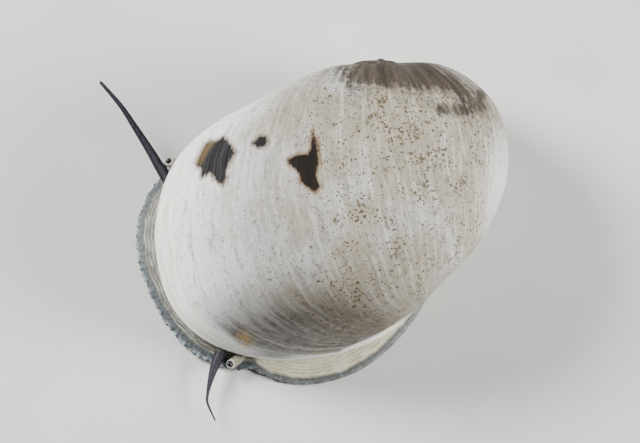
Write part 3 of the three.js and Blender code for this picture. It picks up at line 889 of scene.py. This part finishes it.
def smooth_line(points, steps):
    """Points evenly along a Catmull-Rom line through the given ones, and tangents there."""
    p = np.asarray(points, float)
    p = np.vstack([2 * p[0] - p[1], p, 2 * p[-1] - p[-2]])
    fine = []
    for i in range(1, len(p) - 2):
        t = np.linspace(0, 1, 40, endpoint=False)[:, None]
        a, b, c, d = p[i - 1], p[i], p[i + 1], p[i + 2]
        fine.append(
            0.5
            * (
                2 * b
                + (c - a) * t
                + (2 * a - 5 * b + 4 * c - d) * t**2
                + (3 * b - a - 3 * c + d) * t**3
            )
        )
    fine = np.vstack([*fine, p[-2][None]])
    run = np.concatenate([[0], np.cumsum(np.linalg.norm(np.diff(fine, axis=0), axis=1))])
    at = np.linspace(0, run[-1], steps)
    line = np.column_stack([np.interp(at, run, fine[:, k]) for k in range(3)])
    tangent = np.gradient(line, axis=0)
    return line, tangent / np.linalg.norm(tangent, axis=1)[:, None]


def feeler_piece(points, widths, steps=60, around=24):
    """A closed round feeler along a smooth line, its width given evenly along it."""
    line, tangent = smooth_line(points, steps)
    t = np.linspace(0, 1, steps)
    radius = np.interp(t, np.linspace(0, 1, len(widths)), widths) / 2
    radius[-3:] *= (0.92, 0.72, 0.4)
    side = np.cross([0, 0, 1.0], tangent)
    side /= np.linalg.norm(side, axis=1)[:, None]
    over = np.cross(tangent, side)
    turn = np.arange(around) / around * TURN
    rings = [
        line[i] + radius[i] * (np.cos(turn)[:, None] * side[i] + np.sin(turn)[:, None] * over[i])
        for i in range(steps)
    ]
    return loft(rings)


def eye_look(side):
    """The way an eye looks, out of the end of its stalk."""
    look = np.asarray(EYE_LOOKS[side])
    return look / np.linalg.norm(look)


def eye_centre(side):
    """The middle of an eye, set back from the end of its stalk."""
    before, end = np.asarray(STALK_LINES[side][-2:])
    back = before - end
    return end + EYE_INSET * back / np.linalg.norm(back) + EYE_LIFT * eye_look(side)


def share_of(points, sizes, front_power, rear_power):
    """How far out each point lies in an oval: 0 at its middle, 1 on its outline."""
    dx, dy = points[:, 0] - sizes["x"], points[:, 1] - sizes["y"]
    power = np.where(dy < 0, front_power, rear_power)
    across = np.abs(dx) / np.where(dx < 0, sizes["right"], sizes["left"])
    ahead = np.abs(dy) / np.where(dy < 0, sizes["front"], sizes["rear"])
    return (across**power + ahead**power) ** (1 / power)


def inner_distance(points, sizes, front_power, rear_power):
    """Roughly how far inside an oval each point lies, in millimetres."""
    share = share_of(points, sizes, front_power, rear_power)
    step = 0.05
    slopes = []
    for k in range(2):
        moved = points.copy()
        moved[:, k] += step
        slopes.append((share_of(moved, sizes, front_power, rear_power) - share) / step)
    return (1 - share) / np.maximum(np.hypot(*slopes), 0.02)


def near_line(points, line):
    """The nearest place on a line for each point: distance from it, and its index."""
    far = np.full(len(points), 1e9)
    which = np.zeros(len(points), int)
    for k, place in enumerate(line):
        d = np.linalg.norm(points - place, axis=1)
        closer = d < far
        far[closer] = d[closer]
        which[closer] = k
    return far, which


def mark_skin(obj):
    """Where the parts of the body lie, as values on the points of its skin."""
    points, normals = points_of(obj), normals_of(obj)
    inside_head = inner_distance(points, HEAD, *HEAD_POWERS)
    inside_foot = inner_distance(points, FOOT, *FOOT_POWERS)
    attribute(obj, "edge", np.maximum(inside_head, inside_foot))
    attribute(obj, "ahead", smoothstep(inside_head - inside_foot, -0.6, 0.6))
    sole = smoothstep(-normals[:, 2], 0.3, 0.8) * smoothstep(0.6 - points[:, 2], 0, 0.1)
    attribute(obj, "sole", sole)
    attribute(obj, "bearing", np.arctan2(points[:, 1] + 6, points[:, 0]))
    feeler = np.zeros(len(points))
    run = np.zeros(len(points))
    feeler_top_highlight = np.zeros(len(points))
    stalk = np.zeros(len(points))
    ring = np.full(len(points), 9.0)
    for side in SIDES:
        line, tangent = smooth_line(TENTACLE_LINES[side], TENTACLE_STEPS)
        far, which = near_line(points, line)
        widths = TENTACLE_WIDTHS[side]
        at = which / (TENTACLE_STEPS - 1)
        radius = np.interp(at, np.linspace(0, 1, len(widths)), widths) / 2
        step = np.linalg.norm(line[1] - line[0])
        length = which * step
        on = smoothstep(radius + 0.28 - far, 0, 0.2) * smoothstep(length, 0.5, 1.6)
        feeler = np.maximum(feeler, on)
        run = np.where(on > 0, length, run)
        # How high on the feeler each point lies, for the painted highlight along its top.
        over = np.cross(tangent, np.cross([0, 0, 1.0], tangent))
        over /= np.linalg.norm(over, axis=1)[:, None]
        rise = np.einsum("ij,ij->i", points - line[which], over[which]) / radius
        feeler_top_highlight = np.where(on > 0, rise, feeler_top_highlight)
        line, _ = smooth_line(STALK_LINES[side], STALK_STEPS)
        far, which = near_line(points, line)
        on = smoothstep(0.62 - far, 0, 0.2) * smoothstep(which / (STALK_STEPS - 1), 0.25, 0.5)
        stalk = np.maximum(stalk, on)
        ring = np.minimum(ring, np.linalg.norm(points - eye_centre(side), axis=1))
    attribute(obj, "feeler", feeler * (1 - stalk))
    attribute(obj, "run", run)
    attribute(obj, "feeler_top_highlight", feeler_top_highlight)
    attribute(obj, "stalk", stalk)
    attribute(obj, "ring", ring)


def ruffle(obj):
    """Gathers the rim of the mantle into fine uneven tufts."""
    points = points_of(obj)
    inside = inner_distance(points, HEAD, *HEAD_POWERS)
    rim = smoothstep(0.5 - inside, 0, 0.4) * smoothstep(0.9 - points[:, 2], 0, 0.3)
    rim *= smoothstep(-6.5 - points[:, 1], 0, 2)
    near = np.flatnonzero(rim > 0.01)
    outward = points[near] - np.array([HEAD["x"], HEAD["y"], 0.3])
    outward /= np.linalg.norm(outward, axis=1)[:, None]
    tufts = [
        noise.noise(Vector(p) * 2.2) + 0.7 * noise.noise(Vector(p) * 4.6) for p in points[near]
    ]
    points[near] += (TUFT * rim[near] * np.array(tufts))[:, None] * outward
    move_points(obj, points)


def build_skin():
    pieces = [
        foot_piece(),
        head_piece(),
        mouth_piece(MANTLE_BOTTOM, MANTLE_INSET),
        ball_piece((HEAD["x"], MOUTH_Y, MOUTH_TOP), LIPS),
    ]
    for side in SIDES:
        root = TENTACLE_LINES[side][:3]
        pieces.append(feeler_piece(root, [1.04 * TENTACLE_WIDTHS[side][0], 0.9, 0.5]))
        pieces.append(feeler_piece(STALK_LINES[side], STALK_WIDTHS, 24))
    obj = joined("body_skin", pieces)
    remeshed(obj, SKIN_VOXEL, 2)
    slit = (MOUTH_LENGTH / 2, MOUTH_WIDTH / 2, MOUTH_TOP)
    combine(obj, joined("slit", [ball_piece((HEAD["x"], MOUTH_Y, 0), slit)]), "DIFFERENCE")
    remeshed(obj, SKIN_VOXEL, 3)
    ruffle(obj)
    for side in SIDES:
        whole = feeler_piece(TENTACLE_LINES[side], TENTACLE_WIDTHS[side], 180, 32)
        combine(obj, joined("feeler", [whole]), "UNION")
    for side in SIDES:
        cup = ball_piece(eye_centre(side) + CUP_LIFT * eye_look(side), CUP_RADIUS, 48)
        combine(obj, joined("cup", [cup]), "DIFFERENCE")
    mark_skin(obj)
    return obj


def build_eye(side):
    return joined(f"eye_ball_{side}", [ball_piece(eye_centre(side), EYE_RADIUS, 64)])


def build_operculum():
    """A thin bowed plate, its growth lines bending round the end it grew from."""
    angles = np.arange(240) / 240 * TURN
    across = OPERCULUM["half"] * np.cos(angles)
    reach = np.where(np.sin(angles) > 0, OPERCULUM["rear"], OPERCULUM["front"]) * np.sin(angles)
    rings = []
    for share, z in (
        (0.2, OPERCULUM_BOTTOM),
        (0.97, OPERCULUM_BOTTOM),
        (1, OPERCULUM_BOTTOM + 0.08),
        (1, OPERCULUM_TOP - 0.14),
        (0.97, OPERCULUM_TOP - 0.04),
        (0.88, OPERCULUM_TOP),
        (0.6, OPERCULUM_TOP - 0.03),
        (0.2, OPERCULUM_TOP - 0.06),
    ):
        x = OPERCULUM["x"] + share * across
        y = OPERCULUM["y"] + OPERCULUM_MIDDLE + share * (reach - OPERCULUM_MIDDLE)
        rings.append(np.column_stack([x, y, 0 * x + z]))
    obj = joined("operculum_plate", [loft(rings)])
    points = points_of(obj)
    nucleus = np.array([OPERCULUM["x"], OPERCULUM["y"]]) + OPERCULUM_NUCLEUS
    away = points[:, :2] - nucleus
    attribute(obj, "arc", np.hypot(away[:, 0], 1.5 * away[:, 1]))
    return obj


def flesh_material():
    g = Graph("flesh")
    place = g.place()
    edge, bearing = g.value("edge"), g.value("bearing")
    soft = g.noise(place, 1.1, 3)
    fine = g.noise(place, 4.5, 3, 0.6)
    along = g.math("MULTIPLY", bearing, 9)

    color = g.mix(g.ramp(soft, 0.35, 0.65), (0.50, 0.465, 0.34), (0.62, 0.59, 0.47))
    color = g.mix(g.ramp(fine, 0.5, 0.7, 0, 0.4), color, (0.70, 0.68, 0.60))
    front = g.mix(g.ramp(soft, 0.35, 0.65), (0.09, 0.09, 0.075), (0.18, 0.175, 0.145))
    color = g.mix(g.ramp(g.value("ahead"), 0.1, 0.7), color, front)

    # Wavy dark lines that run with the margin, and grains between them.
    wander = g.math("MULTIPLY_ADD", g.noise(g.vector(along, 0), 0.9, 3, 0.55), 0.5, -0.25)
    depth = g.math("ADD", edge, wander)
    waves = g.math("SINE", g.math("MULTIPLY", depth, TURN / 0.27))
    pieces = g.vector(g.math("MULTIPLY", along, 1.1), g.math("MULTIPLY", depth, 3.0))
    broken = g.noise(pieces, 1.0, 2)
    lines = g.math("MULTIPLY", g.ramp(waves, 0.3, 0.98), g.ramp(broken, 0.36, 0.6))
    band = g.math("MULTIPLY", g.ramp(depth, 0.45, 0.65), g.ramp(depth, 2.8, 2.2))
    lines = g.math("MULTIPLY", lines, band)
    lines = g.math("MULTIPLY", lines, g.ramp(g.value("ahead"), 0, 1, 0.5, 0.8))
    color = g.mix(lines, color, (0.14, 0.125, 0.10))

    bright = g.math("MULTIPLY", g.ramp(waves, -0.2, -0.95), g.ramp(broken, 0.62, 0.38))
    bright = g.math("MULTIPLY", g.math("MULTIPLY", bright, g.value("ahead")), 0.7)
    color = g.mix(bright, color, (0.40, 0.40, 0.36))

    grains = g.node("ShaderNodeTexVoronoi", {"Vector": place, "Scale": 2.1}, output="Distance")
    grain = g.math("MULTIPLY", g.ramp(grains, 0.15, 0.07), g.math("MULTIPLY", band, 0.55))
    color = g.mix(grain, color, (0.12, 0.10, 0.08))

    # The glassy margin and its pale fringe.
    outer = g.math("MULTIPLY_ADD", g.value("ahead"), -0.08, depth)
    margin = g.ramp(outer, 0.68, 0.42)
    glassy = g.mix(g.ramp(fine, 0.35, 0.65), (0.022, 0.030, 0.037), (0.062, 0.080, 0.095))
    color = g.mix(g.math("MULTIPLY", margin, 0.9), color, glassy)
    tuft_place = g.vector(g.math("MULTIPLY", along, 2.2), g.math("MULTIPLY", edge, 1.5))
    tufts = g.noise(tuft_place, 1.0, 3, 0.7)
    fringe = g.math("MULTIPLY", g.ramp(edge, 0.40, 0.02), g.ramp(tufts, 0.42, 0.6))
    fringe = g.math("MULTIPLY", fringe, g.ramp(g.value("ahead"), 0.0, 1.0, 0.35, 1.0))
    color = g.mix(g.math("MULTIPLY", fringe, 0.8), color, (0.34, 0.39, 0.42))

    sole = g.mix(g.ramp(soft, 0.3, 0.7), (0.50, 0.46, 0.37), (0.62, 0.58, 0.48))
    color = g.mix(g.value("sole"), color, sole)

    # Dark ringed feelers with a painted highlight along their tops, pale eye stalks and the ring
    # round each eye.
    feeler, run = g.value("feeler"), g.value("run")
    hoops = g.math("SINE", g.math("MULTIPLY_ADD", soft, 3, g.math("MULTIPLY", run, TURN / 0.16)))
    dusky = g.mix(g.ramp(fine, 0.35, 0.65), (0.005, 0.004, 0.007), (0.018, 0.014, 0.023))
    feeler_top_highlight = g.ramp(g.math("MULTIPLY_ADD", fine, 0.3, g.value("feeler_top_highlight")), 0.95, 1.15, 0, 0.4)
    dusky = g.mix(feeler_top_highlight, dusky, (0.045, 0.038, 0.058))
    color = g.mix(feeler, color, dusky)

    stalk = g.mix(g.ramp(fine, 0.35, 0.65), (0.17, 0.155, 0.115), (0.27, 0.25, 0.19))
    color = g.mix(g.value("stalk"), color, stalk)
    color = g.mix(g.ramp(g.value("ring"), 0.46, 0.36), color, (0.33, 0.33, 0.31))
    g.set(Base_Color=color)

    creases = g.noise(place, 3.0, 4, 0.65)
    height = g.math("ADD", creases, g.math("MULTIPLY", lines, -0.6))
    normal = g.bump(height, 0.1, 0.6)
    rings = g.math("MULTIPLY", g.math("MULTIPLY", hoops, feeler), 0.5)
    g.set(Normal=g.bump(rings, 0.04, 0.4, normal))
    moist = g.ramp(fine, 0.3, 0.7, 0.4, 0.55)
    g.set(Roughness=g.math("MULTIPLY_ADD", feeler, 0.15, moist))
    g.shader.inputs["Specular IOR Level"].default_value = 0.22
    g.shader.inputs["Coat Weight"].default_value = 0.04
    g.shader.inputs["Coat Roughness"].default_value = 0.25
    g.set(Subsurface_Weight=g.math("MULTIPLY_ADD", feeler, -0.3, 0.35))
    g.shader.inputs["Subsurface Radius"].default_value = (1.0, 0.7, 0.5)
    g.shader.inputs["Subsurface Scale"].default_value = 0.4 * MM
    return g.material


def eye_material():
    g = Graph("eye_black")
    place = g.place()
    cloud = g.noise(place, 6.0, 3)
    g.set(Base_Color=g.mix(g.ramp(cloud, 0.35, 0.7), (0.004, 0.003, 0.005), (0.022, 0.016, 0.014)))
    g.set(Normal=g.bump(cloud, 0.01, 0.2))
    g.shader.inputs["Roughness"].default_value = 0.2
    g.shader.inputs["Specular IOR Level"].default_value = 0.3
    g.shader.inputs["Coat Weight"].default_value = 0.1
    g.shader.inputs["Coat Roughness"].default_value = 0.1
    return g.material


def horn_material():
    g = Graph("horn")
    place = g.place()
    arcs = g.math("MULTIPLY_ADD", g.noise(place, 0.8, 2), 0.5, g.value("arc"))
    fine = g.noise(g.vector(g.math("MULTIPLY", arcs, 4.0), 0), 1.0, 3, 0.7)
    color = g.mix(g.ramp(fine, 0.3, 0.7), (0.42, 0.30, 0.22), (0.70, 0.60, 0.50))
    color = g.mix(g.ramp(g.noise(place, 3, 3), 0.45, 0.7, 0, 0.4), color, (0.30, 0.26, 0.24))
    g.set(Base_Color=color, Normal=g.bump(fine, 0.06, 0.7))
    g.shader.inputs["Roughness"].default_value = 0.38
    g.shader.inputs["Coat Weight"].default_value = 0.3
    g.shader.inputs["Coat Roughness"].default_value = 0.2
    return g.material


def floor_material():
    g = Graph("floor_paint")
    place = g.place()
    cloud = g.noise(place, 0.05, 3)
    grit = g.noise(place, 2.0, 3, 0.7)
    g.set(Base_Color=g.mix(g.ramp(cloud, 0.3, 0.7), (0.50, 0.50, 0.495), (0.54, 0.54, 0.535)))
    g.set(Normal=g.bump(grit, 0.03, 0.3))
    g.shader.inputs["Roughness"].default_value = 0.75
    return g.material


porcelain = porcelain_material()
flesh = flesh_material()
eye_black = eye_material()
horn = horn_material()
floor_paint = floor_material()

shell = build_shell()
finished(shell, porcelain)
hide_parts("shell")

skin = build_skin()
finished(skin, flesh)
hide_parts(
    "foot",
    "head",
    "mantle",
    "eye_stalk_left",
    "eye_stalk_right",
    *[f"tentacle_{s}_{k}" for s in SIDES for k in ("base", "middle", "tip")],
)

for side in SIDES:
    eye = build_eye(side)
    finished(eye, eye_black)
    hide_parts(f"eye_{side}")

operculum = build_operculum()
finished(operculum, horn)
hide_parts("operculum")


def build_floor():
    mesh = bpy.data.meshes.new("floor")
    corners = [(x * FLOOR_HALF, y * FLOOR_HALF, 0) for x, y in SQUARE]
    mesh.from_pydata(corners, [], [(0, 1, 2, 3)])
    obj = bpy.data.objects.new("floor", mesh)
    obj.data.materials.append(floor_paint)
    bpy.context.scene.collection.objects.link(obj)


def area_light(name, place, size, power, color):
    data = bpy.data.lights.new(name, "AREA")
    data.shape = "DISK"
    data.size = size
    data.energy = power
    data.color = color
    obj = bpy.data.objects.new(name, data)
    obj.location = place
    obj.rotation_euler = (-Vector(place)).to_track_quat("-Z", "Y").to_euler()
    bpy.context.scene.collection.objects.link(obj)


def build_light():
    area_light(*KEY_LIGHT)
    area_light(*SIDE_LIGHT)
    world = bpy.data.worlds.new("studio")
    world.use_nodes = True
    world.node_tree.nodes["Background"].inputs["Color"].default_value = (1, 1, 1, 1)
    world.node_tree.nodes["Background"].inputs["Strength"].default_value = WORLD_STRENGTH
    bpy.context.scene.world = world


def build_camera():
    right, up, back = Vector(sight_right), Vector(sight_up), Vector(sight_back)
    distance = FIELD_WIDTH * LENS / SENSOR
    centre = FIELD_OFFSET[0] * right + FIELD_OFFSET[1] * up + FOCUS_DEPTH * back
    data = bpy.data.cameras.new("camera")
    data.lens = LENS
    data.sensor_width = SENSOR
    data.clip_start = 0.01
    obj = bpy.data.objects.new("camera", data)
    turn = Matrix((right, up, back)).transposed().to_4x4()
    obj.matrix_world = Matrix.Translation(MM * (centre + distance * back)) @ turn
    bpy.context.scene.collection.objects.link(obj)
    bpy.context.scene.camera = obj


build_floor()
build_light()
build_camera()
